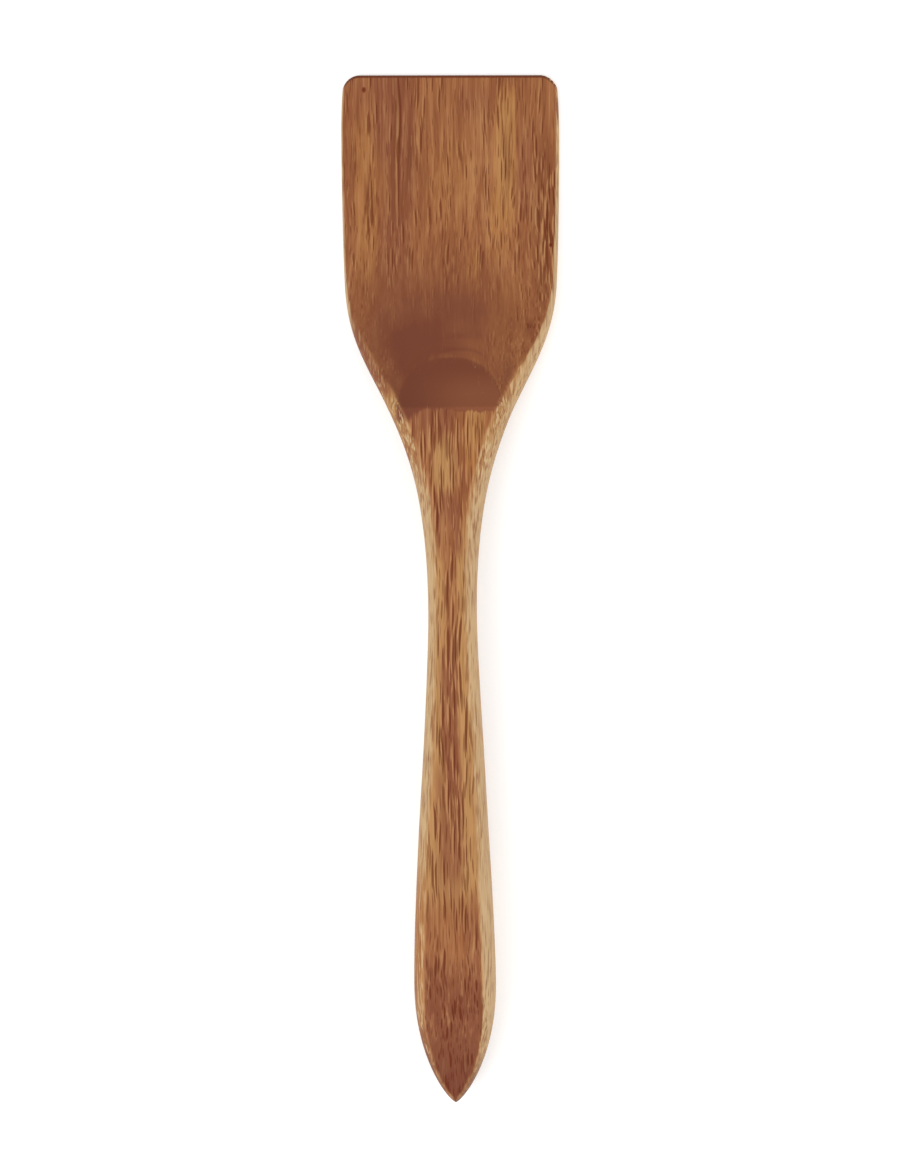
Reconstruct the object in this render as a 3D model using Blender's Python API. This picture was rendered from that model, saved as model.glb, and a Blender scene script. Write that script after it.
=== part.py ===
"""Wooden spatula carved from one blank: a thin square blade, a scooped heel and a grip that
swells to a pointed end.

Units are metres. +Z is up, and the tool lies on its back, face up, on the plane z = 0. +Y points
from the grip to the front edge of the blade, and X = 0 is the plane of symmetry. A station is a
distance back from the front edge.
"""

import math

import bmesh
import bpy
import numpy as np
from mathutils import Vector
from mathutils.geometry import interpolate_bezier

MM = 0.001

# Lengths that follow one another from the front edge
BLADE_LENGTH = 66.0 * MM
SHOULDER_LENGTH = 102.0 * MM
GRIP_LENGTH = 115.0 * MM
TIP_LENGTH = 37.0 * MM

# Widths of the outline
FRONT_WIDTH = 66.3 * MM
BLADE_WIDTH = 68.2 * MM
SHOULDER_WIDTH = 66.2 * MM
NECK_WIDTH = 15.1 * MM
GRIP_WIDTH = 25.4 * MM

# How the outline curves between those widths
CORNER_RADIUS = 5.0 * MM
BOW_LENGTH = 20.0 * MM
SHOULDER_TAPER = 0.06
SHOULDER_HOLD = 32.0 * MM
NECK_HOLD_FRONT = 66.5 * MM
NECK_HOLD_BACK = 23.0 * MM
GRIP_HOLD = 29.0 * MM
TIP_FULLNESS = 2.1
TIP_SHARPNESS = 1.3

# Heights of the upper face above the table
FRONT_THICKNESS = 2.2 * MM
FLOOR_HEIGHT = 9.2 * MM
FLOOR_SWEEP = 1.7
RIM_HEIGHT = 14.5 * MM
HEEL_HEIGHT = 16.0 * MM
NECK_HEIGHT = 15.5 * MM
GRIP_HEIGHT = 16.5 * MM
NOSE_HEIGHT = 10.0 * MM

# Heights of the underside above the table
NECK_ARCH = 5.0 * MM
NOSE_ARCH = 5.0 * MM

# Scoop that ends in the heel
HEEL_SETBACK = 38.5 * MM
SCOOP_LENGTH = 42.5 * MM
COVE_LENGTH = 16.5 * MM
COVE_FOOT_ANGLE = math.radians(14.0)
DISH_POWER = 2.2

# Rounding of the upper edges, as a width seen from above
EDGE_ROUND = 1.2 * MM
HEEL_ROUND = 4.6 * MM
NECK_ROUND = 4.2 * MM
GRIP_ROUND = 3.5 * MM
NOSE_ROUND = 1.2 * MM

# How far the side arc turns before it meets the face: 1 rolls into it, less leaves a crisp arris
SOFT_ROLL = 1.0
HEEL_ROLL = 0.55
GRIP_ROLL = 0.5

# Rounding of the lower edges, as a width seen from below
SHOULDER_BELLY = 8.0 * MM
NECK_BELLY = 6.3 * MM
GRIP_BELLY = 9.5 * MM
NOSE_RADIUS = 2.5 * MM
NARROW_SHARE = 0.85

# Fineness of the mesh
FACE_PARTS = 16
ARC_PARTS = 5
CORNER_PARTS = 7
BLADE_PARTS = 8
SCOOP_PARTS = 12
COVE_PARTS = 8
HANDLE_PARTS = 36
TIP_PARTS = 14
CURVE_SAMPLES = 120

# Stations that follow from the lengths
LENGTH = BLADE_LENGTH + SHOULDER_LENGTH + GRIP_LENGTH + TIP_LENGTH
NECK = BLADE_LENGTH + SHOULDER_LENGTH
GRIP = NECK + GRIP_LENGTH
HEEL = BLADE_LENGTH + HEEL_SETBACK
SCOOP_START = HEEL - SCOOP_LENGTH
COVE_FOOT = HEEL - COVE_LENGTH


def bezier_guide(points):
    """Return value(station) along joined Bezier curves: knot, handle, handle, knot and so on."""
    stations = []
    values = []
    for first in range(0, len(points) - 1, 3):
        knots = [Vector((station, value, 0.0)) for station, value in points[first:first + 4]]
        for sample in interpolate_bezier(*knots, CURVE_SAMPLES):
            stations.append(sample.x)
            values.append(sample.y)
    return lambda station: float(np.interp(station, stations, values))


def eased_guide(knots):
    """Return value(station) that eases from knot to knot and is level at each of them."""
    def value(station):
        for (start, low), (end, high) in zip(knots, knots[1:]):
            if station <= end:
                share = min(max((station - start) / (end - start), 0.0), 1.0)
                return low + (high - low) * share * share * (3.0 - 2.0 * share)
        return knots[-1][1]
    return value


# Outline from the front corners to the widest point of the grip
side_line = bezier_guide([
    (0.0, FRONT_WIDTH / 2),
    (BOW_LENGTH * 0.3, BLADE_WIDTH / 2 - (BLADE_WIDTH - FRONT_WIDTH) * 0.1),
    (BOW_LENGTH * 0.6, BLADE_WIDTH / 2),
    (BOW_LENGTH, BLADE_WIDTH / 2),
    (BOW_LENGTH * 1.6, BLADE_WIDTH / 2),
    (BLADE_LENGTH - BOW_LENGTH / 2, SHOULDER_WIDTH / 2 + SHOULDER_TAPER * BOW_LENGTH / 2),
    (BLADE_LENGTH, SHOULDER_WIDTH / 2),
    (BLADE_LENGTH + SHOULDER_HOLD, SHOULDER_WIDTH / 2 - SHOULDER_TAPER * SHOULDER_HOLD),
    (NECK - NECK_HOLD_FRONT, NECK_WIDTH / 2),
    (NECK, NECK_WIDTH / 2),
    (NECK + NECK_HOLD_BACK, NECK_WIDTH / 2),
    (GRIP - GRIP_HOLD, GRIP_WIDTH / 2),
    (GRIP, GRIP_WIDTH / 2),
])

handle_face = eased_guide([
    (HEEL, HEEL_HEIGHT),
    (NECK, NECK_HEIGHT),
    (GRIP - TIP_LENGTH / 2, GRIP_HEIGHT),
    (LENGTH + TIP_LENGTH / 3, NOSE_HEIGHT),
])

underside = eased_guide([
    (BLADE_LENGTH + HEEL_SETBACK / 3, 0.0),
    (NECK, NECK_ARCH),
    (GRIP - TIP_LENGTH / 4, 0.0),
    (LENGTH + TIP_LENGTH / 3, NOSE_ARCH),
])

upper_round = eased_guide([
    (SCOOP_START, EDGE_ROUND),
    (HEEL, HEEL_ROUND),
    (NECK, NECK_ROUND),
    (GRIP, GRIP_ROUND),
    (LENGTH, NOSE_ROUND),
])

upper_roll = eased_guide([
    (SCOOP_START, SOFT_ROLL),
    (HEEL, HEEL_ROLL),
    (NECK, SOFT_ROLL),
    (GRIP, GRIP_ROLL),
])

lower_round = eased_guide([
    (BLADE_LENGTH, EDGE_ROUND),
    (HEEL, SHOULDER_BELLY),
    (NECK, NECK_BELLY),
    (GRIP, GRIP_BELLY),
])


def half_width(station):
    """Half of the outline's width, with the front corners rounded and the end drawn to a point."""
    if station > GRIP:
        share = min((station - GRIP) / TIP_LENGTH, 1.0)
        return GRIP_WIDTH / 2 * (1.0 - share ** TIP_FULLNESS) ** (1.0 / TIP_SHARPNESS)
    if station < CORNER_RADIUS:
        drop = CORNER_RADIUS - station
        return side_line(station) - CORNER_RADIUS + math.sqrt(CORNER_RADIUS ** 2 - drop ** 2)
    return side_line(station)


def inset(x, station):
    """Distance from the outline to a point inside it, seen from above."""
    if station >= CORNER_RADIUS:
        return max(half_width(station) - abs(x), 0.0)
    corner = side_line(station) - CORNER_RADIUS
    if abs(x) <= corner:
        return station
    return max(CORNER_RADIUS - math.hypot(abs(x) - corner, CORNER_RADIUS - station), 0.0)


def upper_edge(station):
    return min(upper_round(station), NARROW_SHARE * half_width(station))


def lower_edge(station):
    return min(lower_round(station), NARROW_SHARE * half_width(station))


def rolled(distance, width, roll):
    """Rise of an edge arc, 0 at the outline and 1 where it meets the face."""
    share = min(distance / width, 1.0)
    return math.sqrt(1.0 - (1.0 - share * roll) ** 2) / math.sqrt(1.0 - (1.0 - roll) ** 2)


def floor_line(station):
    """Height of the face's middle line, which sweeps up from the front edge and under the cove."""
    return FRONT_THICKNESS + (FLOOR_HEIGHT - FRONT_THICKNESS) * (station / HEEL) ** FLOOR_SWEEP


def rim_line(station):
    """Height of the scoop's rim, which climbs from the blade's face towards the heel."""
    share = min(max((station - SCOOP_START) / SCOOP_LENGTH, 0.0), 1.0)
    floor = floor_line(station)
    return floor + (RIM_HEIGHT - floor) * share * share


def cove_line(station):
    """Height of the end wall: an arc from the scoop's floor up to the heel line."""
    foot_height = floor_line(COVE_FOOT)
    rise = HEEL_HEIGHT - foot_height
    chord = math.hypot(COVE_LENGTH, rise)
    radius = chord / (2.0 * math.sin(math.atan2(rise, COVE_LENGTH) - COVE_FOOT_ANGLE))
    run = station - COVE_FOOT + radius * math.sin(COVE_FOOT_ANGLE)
    return foot_height + radius * math.cos(COVE_FOOT_ANGLE) - math.sqrt(radius ** 2 - run ** 2)


def face_height(share, station):
    """Height of the upper face at a share of the way from the middle to its edge."""
    if station >= HEEL:
        return handle_face(station)
    floor = floor_line(station)
    dish = floor + (rim_line(station) - floor) * abs(share) ** DISH_POWER
    if station <= COVE_FOOT:
        return dish
    return max(dish, cove_line(station))


def crease_guide():
    """Return station(share) along the half-moon where the end wall meets the dish."""
    shares = []
    stations = []
    for station in np.linspace(COVE_FOOT, HEEL, CURVE_SAMPLES):
        floor = floor_line(station)
        share = max((cove_line(station) - floor) / (rim_line(station) - floor), 0.0)
        shares.append(share ** (1.0 / DISH_POWER))
        stations.append(station)
    return lambda share: float(np.interp(abs(share), shares, stations))


crease = crease_guide()
FACE_SHARES = [2.0 * part / FACE_PARTS - 1.0 for part in range(FACE_PARTS + 1)]


def straight_row(station):
    return [station] * len(FACE_SHARES)


def scoop_row(progress):
    """Stations of a row that bends from straight, at 0, into the half-moon, at 1."""
    return [SCOOP_START + (crease(share) - SCOOP_START) * progress for share in FACE_SHARES]


def cove_row(progress):
    """Stations of a row on the end wall, from the half-moon, at 0, to the heel line, at 1."""
    return [crease(share) + (HEEL - crease(share)) * progress for share in FACE_SHARES]


def rows():
    """Every row of the upper face, from the front edge to just before the pointed end."""
    for part in range(CORNER_PARTS):
        yield straight_row(CORNER_RADIUS * (1.0 - math.cos(math.pi / 2 * part / CORNER_PARTS)))
    for part in range(BLADE_PARTS):
        yield straight_row(CORNER_RADIUS + (SCOOP_START - CORNER_RADIUS) * part / BLADE_PARTS)
    for part in range(SCOOP_PARTS):
        yield scoop_row(part / SCOOP_PARTS)
    for part in range(COVE_PARTS):
        yield cove_row(part / COVE_PARTS)
    for part in range(HANDLE_PARTS):
        yield straight_row(HEEL + (GRIP - HEEL) * part / HANDLE_PARTS)
    for part in range(TIP_PARTS):
        yield straight_row(LENGTH - TIP_LENGTH * (1.0 - math.sin(math.pi / 2 * part / TIP_PARTS)))


def ring(row):
    """Points round the body for one row of the upper face."""
    station = row[-1]
    width = half_width(station)
    base = underside(station)
    middle = (base + face_height(1.0, station)) / 2
    near_end = min((LENGTH - station) / NOSE_RADIUS, 1.0)
    closing = math.sqrt(1.0 - (1.0 - near_end) ** 2)
    y = LENGTH / 2 - station

    def upper(x, share, at):
        arc = rolled(inset(x, at), upper_edge(at), upper_roll(at))
        return Vector((x, LENGTH / 2 - at, middle + (face_height(share, at) - middle) * arc * closing))

    def lower(x):
        arc = rolled(inset(x, station), lower_edge(station), SOFT_ROLL)
        return Vector((x, y, middle - (middle - base) * arc * closing))

    top = []
    for share, at in zip(FACE_SHARES, row):
        top.append(upper(share * (half_width(at) - upper_edge(at)), share, at))
    turn = math.pi / 2 - math.asin(1.0 - upper_roll(station))
    for part in range(1, ARC_PARTS):
        angle = math.pi / 2 - turn * (ARC_PARTS - part) / ARC_PARTS
        depth = upper_edge(station) * (1.0 - math.sin(angle)) / upper_roll(station)
        top.append(upper(width - depth, 1.0, station))
        top.insert(0, upper(depth - width, 1.0, station))
    flat = width - lower_edge(station)
    bottom = [lower(flat * share) for share in FACE_SHARES]
    for part in range(1, ARC_PARTS):
        depth = lower_edge(station) * (1.0 - math.sin(math.pi / 2 * part / ARC_PARTS))
        bottom.append(lower(width - depth))
        bottom.insert(0, lower(depth - width))
    right = Vector((width, y, middle))
    left = Vector((-width, y, middle))
    return [left] + top + [right] + bottom[::-1]


def skin(mesh_builder, rings):
    """Join each ring of points to the next with quads."""
    loops = [[mesh_builder.verts.new(point) for point in points] for points in rings]
    for near, far in zip(loops, loops[1:]):
        count = len(near)
        for corner in range(count):
            following = (corner + 1) % count
            mesh_builder.faces.new((near[corner], near[following], far[following], far[corner]))
    return loops


def wood_material():
    """Oiled reddish brown hardwood."""
    material = bpy.data.materials.new("oiled_wood")
    material.use_nodes = True
    shader = material.node_tree.nodes["Principled BSDF"]
    shader.inputs["Base Color"].default_value = (0.32, 0.125, 0.05, 1.0)
    shader.inputs["Roughness"].default_value = 0.5
    shader.inputs["Metallic"].default_value = 0.0
    return material


def spatula_body():
    """The whole tool: rings lofted from the front edge, closed there and at the pointed end."""
    builder = bmesh.new()
    loops = skin(builder, [ring(row) for row in rows()])
    nose_height = (underside(LENGTH) + handle_face(LENGTH)) / 2
    nose = builder.verts.new((0.0, -LENGTH / 2, nose_height))
    last = loops[-1]
    for corner, vertex in enumerate(last):
        builder.faces.new((vertex, last[(corner + 1) % len(last)], nose))
    bmesh.ops.remove_doubles(builder, verts=builder.verts, dist=0.001 * MM)
    bmesh.ops.recalc_face_normals(builder, faces=builder.faces)
    mesh = bpy.data.meshes.new("spatula_body")
    builder.to_mesh(mesh)
    builder.free()
    mesh.shade_smooth()
    mesh.set_sharp_from_angle(angle=math.radians(25.0))
    mesh.materials.append(wood_material())
    body = bpy.data.objects.new("spatula_body", mesh)
    bpy.context.scene.collection.objects.link(body)
    return body


for old in list(bpy.data.objects):
    bpy.data.objects.remove(old, do_unlink=True)
spatula_body()
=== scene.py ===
"""Wooden spatula: one carved body with an oiled finish, lying face up on a plain stage.

Lengths are metres, and millimetres where the wood's figure is laid out. A station is a distance
back from the blade's front edge, which lies at the +Y end of the tool. X = 0 is the middle of the
blade, and the tool's back rests on the plane z = 0.
"""

import math

import bpy
from mathutils import Matrix, Vector


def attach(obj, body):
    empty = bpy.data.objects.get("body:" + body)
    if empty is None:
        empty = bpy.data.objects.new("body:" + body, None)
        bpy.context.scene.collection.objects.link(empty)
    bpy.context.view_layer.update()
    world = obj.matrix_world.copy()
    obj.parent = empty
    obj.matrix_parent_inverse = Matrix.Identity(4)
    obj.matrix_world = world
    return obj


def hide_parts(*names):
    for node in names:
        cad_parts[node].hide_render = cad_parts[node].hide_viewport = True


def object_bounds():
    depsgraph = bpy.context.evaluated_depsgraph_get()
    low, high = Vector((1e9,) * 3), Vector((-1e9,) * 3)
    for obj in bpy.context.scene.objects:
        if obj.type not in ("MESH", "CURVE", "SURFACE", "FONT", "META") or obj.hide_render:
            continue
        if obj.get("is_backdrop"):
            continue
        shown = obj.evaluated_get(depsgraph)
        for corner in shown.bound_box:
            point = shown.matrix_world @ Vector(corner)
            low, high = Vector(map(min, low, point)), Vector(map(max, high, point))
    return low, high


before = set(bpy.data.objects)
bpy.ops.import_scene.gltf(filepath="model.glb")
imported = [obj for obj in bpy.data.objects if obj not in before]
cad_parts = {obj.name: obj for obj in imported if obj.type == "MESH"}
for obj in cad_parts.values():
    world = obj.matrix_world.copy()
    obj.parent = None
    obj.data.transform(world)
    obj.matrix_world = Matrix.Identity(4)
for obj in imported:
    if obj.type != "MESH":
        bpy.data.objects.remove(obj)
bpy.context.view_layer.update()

bl_info = {
    "name": "Wooden Spatula",
    "version": (1, 0, 0),
    "blender": (4, 5, 0),
    "location": "3D View > Sidebar > Spatula",
    "description": "Builds a carved wooden spatula, its oiled finish and a plain stage",
    "category": "Add Mesh",
}

MM = 0.001


# Sizes, colours and stage settings

def length(name, millimetres, description):
    """A length, given in millimetres and kept in metres."""
    return bpy.props.FloatProperty(
        name=name, description=description, default=millimetres * MM,
        unit="LENGTH", subtype="DISTANCE", precision=4,
    )


def ratio(name, value, description):
    """A number without a unit."""
    return bpy.props.FloatProperty(name=name, description=description, default=value, precision=3)


def angle(name, degrees, description):
    """An angle, given in degrees and kept in radians."""
    return bpy.props.FloatProperty(
        name=name, description=description, default=math.radians(degrees), subtype="ANGLE",
    )


def light_of(shade):
    """One channel of a display colour, 0 to 255, as scene light, by the sRGB curve."""
    share = shade / 255.0
    if share <= 0.04045:
        return share / 12.92
    return ((share + 0.055) / 1.055) ** 2.4


def colour(name, red, green, blue, description):
    """A colour, given as it is displayed, 0 to 255."""
    return bpy.props.FloatVectorProperty(
        name=name, description=description, subtype="COLOR", size=3, min=0.0, max=1.0,
        default=(light_of(red), light_of(green), light_of(blue)),
    )


class SpatulaSizes(bpy.types.PropertyGroup):
    """Sizes of the carved body"""

    blade_length: length("Blade Length", 66.0, "Straight sides of the blade")
    shoulder_length: length("Shoulder Length", 102.0, "From the blade to the slimmest point")
    grip_length: length("Grip Length", 115.0, "From the slimmest point to the handle's widest")
    tip_length: length("Tip Length", 37.0, "From the handle's widest point to its end")
    front_width: length("Front Width", 66.3, "Front edge before its corners are rounded")
    blade_width: length("Blade Width", 68.2, "Widest point of the blade")
    shoulder_width: length("Shoulder Width", 66.2, "Where the straight sides end")
    neck_width: length("Neck Width", 15.1, "Slimmest point of the neck")
    grip_width: length("Grip Width", 25.4, "Widest point of the handle")
    front_skew: length("Front Skew", 1.0, "How far the front edge's right end lies further back")
    handle_drift: length("Handle Drift", 0.62, "How far the neck stands to the right of the blade")
    drift_kept: ratio("Drift Kept", 0.6, "Share of that drift that is left along the grip")
    shoulder_swell: ratio("Shoulder Swell", 0.014, "How much fuller the shoulders are carved")
    corner_radius: length("Corner Radius", 5.0, "Front corners seen from above")
    bow_length: length("Bow Length", 20.0, "From the front edge to the blade's widest point")
    shoulder_taper: ratio("Shoulder Taper", 0.06, "Slope of the outline where a shoulder begins")
    shoulder_hold: length("Shoulder Hold", 32.0, "How long the shoulder keeps that slope")
    neck_hold_front: length("Neck Hold Front", 66.5, "How long the neck stays slim in front")
    neck_hold_back: length("Neck Hold Back", 23.0, "How long the neck stays slim behind")
    grip_hold: length("Grip Hold", 29.0, "How long the handle stays full")
    tip_fullness: ratio("Tip Fullness", 2.1, "How late the outline turns in to the end")
    tip_sharpness: ratio("Tip Sharpness", 1.3, "How pointed the end is")
    front_thickness: length("Front Thickness", 2.2, "Blade at its front edge")
    floor_height: length("Floor Height", 9.2, "Scoop's floor carried on to the heel line")
    floor_sweep: ratio("Floor Sweep", 1.7, "How late the blade's face sweeps up")
    rim_height: length("Rim Height", 14.5, "Scoop's rim beside the heel line")
    heel_height: length("Heel Height", 16.0, "Handle's face at the heel line")
    neck_height: length("Neck Height", 15.5, "Handle's face at the neck")
    grip_height: length("Grip Height", 16.5, "Handle's face at the grip")
    nose_height: length("Nose Height", 10.0, "What the handle's face falls to past its end")
    neck_arch: length("Neck Arch", 5.0, "Neck's underside above the table")
    nose_arch: length("Nose Arch", 5.0, "What the underside rises to past the end")
    heel_setback: length("Heel Setback", 38.5, "Heel line behind the blade's straight sides")
    scoop_length: length("Scoop Length", 42.5, "From the scoop's start to the heel line")
    cove_length: length("Cove Length", 16.5, "Scoop's end wall seen from above")
    cove_foot_angle: angle("Cove Foot Angle", 14.0, "Slope of the end wall at its foot")
    dish_power: ratio("Dish Power", 2.2, "How late the scoop climbs to its rim")
    edge_round: length("Edge Round", 1.2, "Rounding of the blade's edges")
    heel_round: length("Heel Round", 4.6, "Rounded side beside the heel")
    neck_round: length("Neck Round", 4.2, "Rounded side of the neck")
    grip_round: length("Grip Round", 3.5, "Rounded side of the grip")
    nose_round: length("Nose Round", 1.2, "Rounded side at the end")
    soft_roll: ratio("Soft Roll", 1.0, "Turn of a side that rolls into the face")
    heel_roll: ratio("Heel Roll", 0.55, "Turn of the side beside the heel, which leaves an edge")
    grip_roll: ratio("Grip Roll", 0.5, "Turn of the grip's side, which leaves an edge")
    shoulder_belly: length("Shoulder Belly", 8.0, "Lower rounding of the shoulders")
    neck_belly: length("Neck Belly", 6.3, "Lower rounding of the neck")
    grip_belly: length("Grip Belly", 9.5, "Lower rounding of the grip")
    nose_radius: length("Nose Radius", 2.5, "Rounding of the very end")
    narrow_share: ratio("Narrow Share", 0.85, "Most of a half width that a rounded side takes")
    arris_wear: length("Arris Wear", 0.45, "Softening of the edges along the handle")
    crease_wear: length("Crease Wear", 0.6, "Softening where the scoop meets its end wall")
    heel_wear: length("Heel Wear", 0.25, "Softening of the heel line")


class SpatulaColours(bpy.types.PropertyGroup):
    """Colours of the oiled wood"""

    heartwood: colour("Heartwood", 158, 97, 57, "Reddish brown body of the wood")
    honey: colour("Honey", 180, 120, 66, "Yellow brown streaks")
    straw: colour("Straw", 192, 143, 88, "Pale yellow wood of the handle")
    # Pale wood and painted light: the steep sides are lightened with this colour where they would
    # catch the bright surroundings
    sapwood_and_side_light: colour("Sapwood And Side Light", 214, 180, 134, "Palest wood, along the handle's sides")
    russet: colour("Russet", 143, 83, 53, "Reddish bands")
    umber: colour("Umber", 118, 61, 31, "Dark streaks")
    # Also the painted shade of the hollow and its end wall, and the painted shadow at the heel
    # line's left corner
    cut_grain_and_shade: colour("Cut Grain And Shade", 119, 62, 41, "Wood cut across its fibres")
    pore: colour("Pore", 104, 36, 2, "Short dark pores")
    fleck: colour("Fleck", 206, 150, 98, "Short pale flecks")
    oil: colour("Oil", 140, 60, 5, "Deep orange that the oil adds along the handle")


class SpatulaStage(bpy.types.PropertyGroup):
    """Camera and light"""

    lean: angle("Camera Lean", 5.5, "How far the camera leans towards the tool's right side")
    roll: angle("Camera Roll", -0.4, "How far the tool stands off upright in the picture")
    distance: length("Camera Distance", 1600.0, "From the camera to the middle of the tool")
    field: length("Camera Field", 365.0, "Height of the picture at the middle of the tool")
    aim_across: length("Aim Across", -0.33, "Middle of the picture right of the tool's middle")
    aim_along: length("Aim Along", -0.3, "Middle of the picture in front of the tool's middle")
    ambient: ratio("Ambient", 0.62, "Light from all round")
    key_power: ratio("Key Power", 10.0, "Watts of the large lamp on the left")
    fill_power: ratio("Fill Power", 5.0, "Watts of the large lamp on the right")


# Formulas in node trees

class Wire:
    """A number that travels through a node tree, so that a formula reads like one."""

    def __init__(self, tree, socket):
        self.tree = tree
        self.socket = socket

    def feed(self, socket, value):
        """Link or set an input."""
        if isinstance(value, Wire):
            self.tree.links.new(value.socket, socket)
        else:
            socket.default_value = value

    def through(self, operation, *others):
        """What a Math node makes of this number and the others."""
        node = self.tree.nodes.new("ShaderNodeMath")
        node.operation = operation
        for slot, value in enumerate((self,) + others):
            self.feed(node.inputs[slot], value)
        return Wire(self.tree, node.outputs[0])

    def __add__(self, other):
        return self.through("ADD", other)

    def __sub__(self, other):
        return self.through("SUBTRACT", other)

    def __mul__(self, other):
        return self.through("MULTIPLY", other)

    def __truediv__(self, other):
        return self.through("DIVIDE", other)

    def __pow__(self, other):
        return self.through("POWER", other)

    def __rsub__(self, other):
        return self * -1.0 + other

    def __rtruediv__(self, other):
        return (self ** -1.0) * other

    __radd__ = __add__
    __rmul__ = __mul__

    def root(self):
        return self.through("SQRT")

    def size(self):
        return self.through("ABSOLUTE")

    def least(self, other):
        return self.through("MINIMUM", other)

    def most(self, other):
        return self.through("MAXIMUM", other)

    def below(self, other):
        return self.through("LESS_THAN", other)

    def eased(self, start, end, low=0.0, high=1.0):
        """Goes smoothly from low to high as this number goes from start to end."""
        node = self.tree.nodes.new("ShaderNodeMapRange")
        node.interpolation_type = "SMOOTHSTEP"
        for slot, value in enumerate((self, start, end, low, high)):
            self.feed(node.inputs[slot], value)
        return Wire(self.tree, node.outputs[0])

    def pick(self, zero, one):
        """The value for 0 or the value for 1, or a share of each in between."""
        if isinstance(one, Wire) and not isinstance(zero, Wire):
            return (1.0 - self) * zero + self * one
        return self * (one - zero) + zero


def split(tree, vector):
    """The three numbers of a vector."""
    node = tree.nodes.new("ShaderNodeSeparateXYZ")
    tree.links.new(vector, node.inputs[0])
    return [Wire(tree, output) for output in node.outputs]


def joined(x, y, z):
    """A vector from three numbers, of which the first is a Wire."""
    node = x.tree.nodes.new("ShaderNodeCombineXYZ")
    for slot, value in enumerate((x, y, z)):
        x.feed(node.inputs[slot], value)
    return node.outputs[0]


# Carved body

# Parts round half a ring: flat of the face, then each of the two rounded sides
FACE_PARTS = 64
SIDE_PARTS = 16
FACE_SHARE = FACE_PARTS / (FACE_PARTS + 2 * SIDE_PARTS)

# Rows along each stretch of the body
BOW_ROWS = 44
TAPER_ROWS = 30
SHOULDER_ROWS = 270
GRIP_ROWS = 100
TIP_ROWS = 50

# How strongly the rows crowd towards the front edge and towards the end
FRONT_CROWDING = 1.8
END_CROWDING = 1.6

# Points closer than this become one
WELD_DISTANCE = 0.0002 * MM

# Share of the way round from the middle of a face at which the upper half meets the lower one
HALVES_MEET = 0.999

# Stations between which the shoulders swell and slim again, the handle drifts to the right, and
# the drift eases along the grip
SWELL_BEGINS = (62.0 * MM, 100.0 * MM)
SWELL_ENDS = (112.0 * MM, 132.0 * MM)
DRIFT_BEGINS = (78.0 * MM, 128.0 * MM)
DRIFT_EASES = (205.0 * MM, 240.0 * MM)

# What the attribute end_wall says on the underside, far from the end wall, in millimetres
NO_WALL = -10.0


def guide(station, knots):
    """A size that eases from knot to knot along the body and is level at each of them."""
    value = knots[0][1]
    for (start, low), (end, high) in zip(knots, knots[1:]):
        value = station.eased(start, end, 0.0, high - low) + value
    return value


def bezier(share, first, second, third, fourth):
    """A cubic Bezier at a share of its parameter."""
    rest = 1.0 - share
    near = rest * rest * (rest * first + share * second * 3.0)
    far = share * share * (rest * third * 3.0 + share * fourth)
    return near + far


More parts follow.
